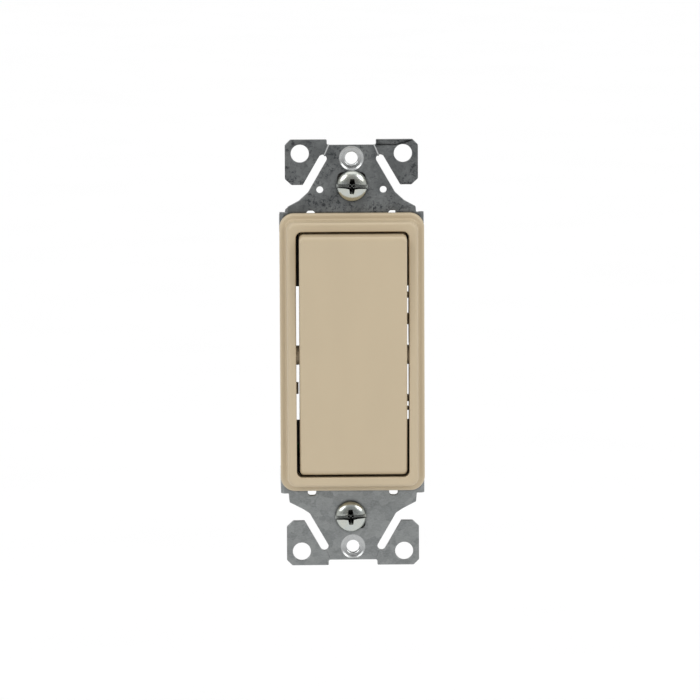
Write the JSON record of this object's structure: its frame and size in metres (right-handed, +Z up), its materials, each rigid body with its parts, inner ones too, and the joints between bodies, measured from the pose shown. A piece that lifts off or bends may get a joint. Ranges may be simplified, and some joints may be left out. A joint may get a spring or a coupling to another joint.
{
  "type": "rocker wall switch",
  "caption": "Single-pole rocker wall switch for a wall box: beige rocker in a bezel frame on a galvanised mounting strap, wiring body behind it.",
  "frame": {"origin": "on the plane of the strap's rear face, which rests on the wall box, midway between the two cover-plate holes, and so between the two box-screw holes", "axes": "-Y out of the wall through the rocker's face, +Z up along the strap, +X to the right seen from the front"},
  "size_m": [0.0358, 0.0359, 0.1062],
  "materials": {
    "galvanised_steel": "hot-dip galvanised, dull with spangle",
    "beige_plastic": "satin moulded thermoplastic",
    "housing_plastic": "matt moulded thermoset",
    "cover_plastic": "matt moulded",
    "brass": "bright rolled",
    "contact_silver": "satin silver alloy",
    "slider_plastic": "natural acetal",
    "spring_steel": "bright drawn",
    "zinc_plate": "bright zinc plating",
    "green_steel": "green dyed plating",
    "fibre": "vulcanised fibre"
  },
  "bodies": {
    "root": {"strap": "galvanised_steel", "bezel_frame": "beige_plastic", "base_housing": "housing_plastic", "chamber_cover": "cover_plastic", "line_terminal": "brass", "load_terminal": "brass", "fixed_contact": "contact_silver", "line_push_spring": "spring_steel", "load_push_spring": "spring_steel"},
    "rocker": {"rocker": "beige_plastic", "plunger_spring": "spring_steel"},
    "plunger": {"plunger": "slider_plastic"},
    "blade": {"contact_blade": "brass", "moving_contact": "contact_silver"},
    "line_clamp": {"line_clamp": "zinc_plate"},
    "line_screw": {"line_screw": "brass"},
    "load_clamp": {"load_clamp": "zinc_plate"},
    "load_screw": {"load_screw": "brass"},
    "ground_screw": {"ground_screw": "green_steel"},
    "top_washer": {"top_screw_washer": "fibre"},
    "top_screw": {"top_mounting_screw": "zinc_plate"},
    "bottom_washer": {"bottom_screw_washer": "fibre"},
    "bottom_screw": {"bottom_mounting_screw": "zinc_plate"}
  },
  "joints": [
    {"name": "rocker_tilt", "type": "hinge", "parent": "root", "child": "rocker", "pos_m": [0, -0.004, 0], "axis": [-1, 0, 0], "range_deg": [0, 6.8]},
    {"name": "plunger_slide", "type": "slide", "parent": "rocker", "child": "plunger", "axis": [0, -0.9982, -0.0593], "range_m": [0, 0.0008], "stiffness_N_per_m": 500, "springref_m": -0.002, "deforming": ["plunger_spring"]},
    {"name": "blade_flip", "type": "hinge", "parent": "root", "child": "blade", "pos_m": [0, 0.0104, 0], "axis": [1, 0, 0], "range_deg": [0, 8]},
    {"name": "line_clamp_slide", "type": "slide", "parent": "root", "child": "line_clamp", "axis": [1, 0, 0], "range_m": [0, 0.003]},
    {"name": "line_screw_turn", "type": "hinge", "parent": "line_clamp", "child": "line_screw", "pos_m": [0.0118, 0.0102, 0.0256], "axis": [1, 0, 0], "range_deg": [0, 1361]},
    {"name": "load_clamp_slide", "type": "slide", "parent": "root", "child": "load_clamp", "axis": [1, 0, 0], "range_m": [0, 0.003]},
    {"name": "load_screw_turn", "type": "hinge", "parent": "load_clamp", "child": "load_screw", "pos_m": [0.0118, 0.0102, -0.0256], "axis": [1, 0, 0], "range_deg": [0, 1361]},
    {"name": "ground_screw_slide", "type": "slide", "parent": "root", "child": "ground_screw", "axis": [-1, 0, 0], "range_m": [0, 0.003]},
    {"name": "top_washer_slide", "type": "slide", "parent": "root", "child": "top_washer", "axis": [0, -1, 0], "range_m": [0, 0.0032]},
    {"name": "top_screw_turn", "type": "hinge", "parent": "top_washer", "child": "top_screw", "pos_m": [0.00012, 0, 0.0416], "axis": [0, -1, 0], "continuous": true},
    {"name": "bottom_washer_slide", "type": "slide", "parent": "root", "child": "bottom_washer", "axis": [0, -1, 0], "range_m": [0, 0.0032]},
    {"name": "bottom_screw_turn", "type": "hinge", "parent": "bottom_washer", "child": "bottom_screw", "pos_m": [-0.00055, 0, -0.04075], "axis": [0, -1, 0], "continuous": true}
  ],
  "couplings": [
    {"joint": "blade_flip", "follows": "rocker_tilt", "ratio": 1.1765},
    {"joint": "line_screw_turn", "follows": "line_clamp_slide", "rad_per_m": 7915.8},
    {"joint": "load_screw_turn", "follows": "load_clamp_slide", "rad_per_m": 7915.8}
  ]
}
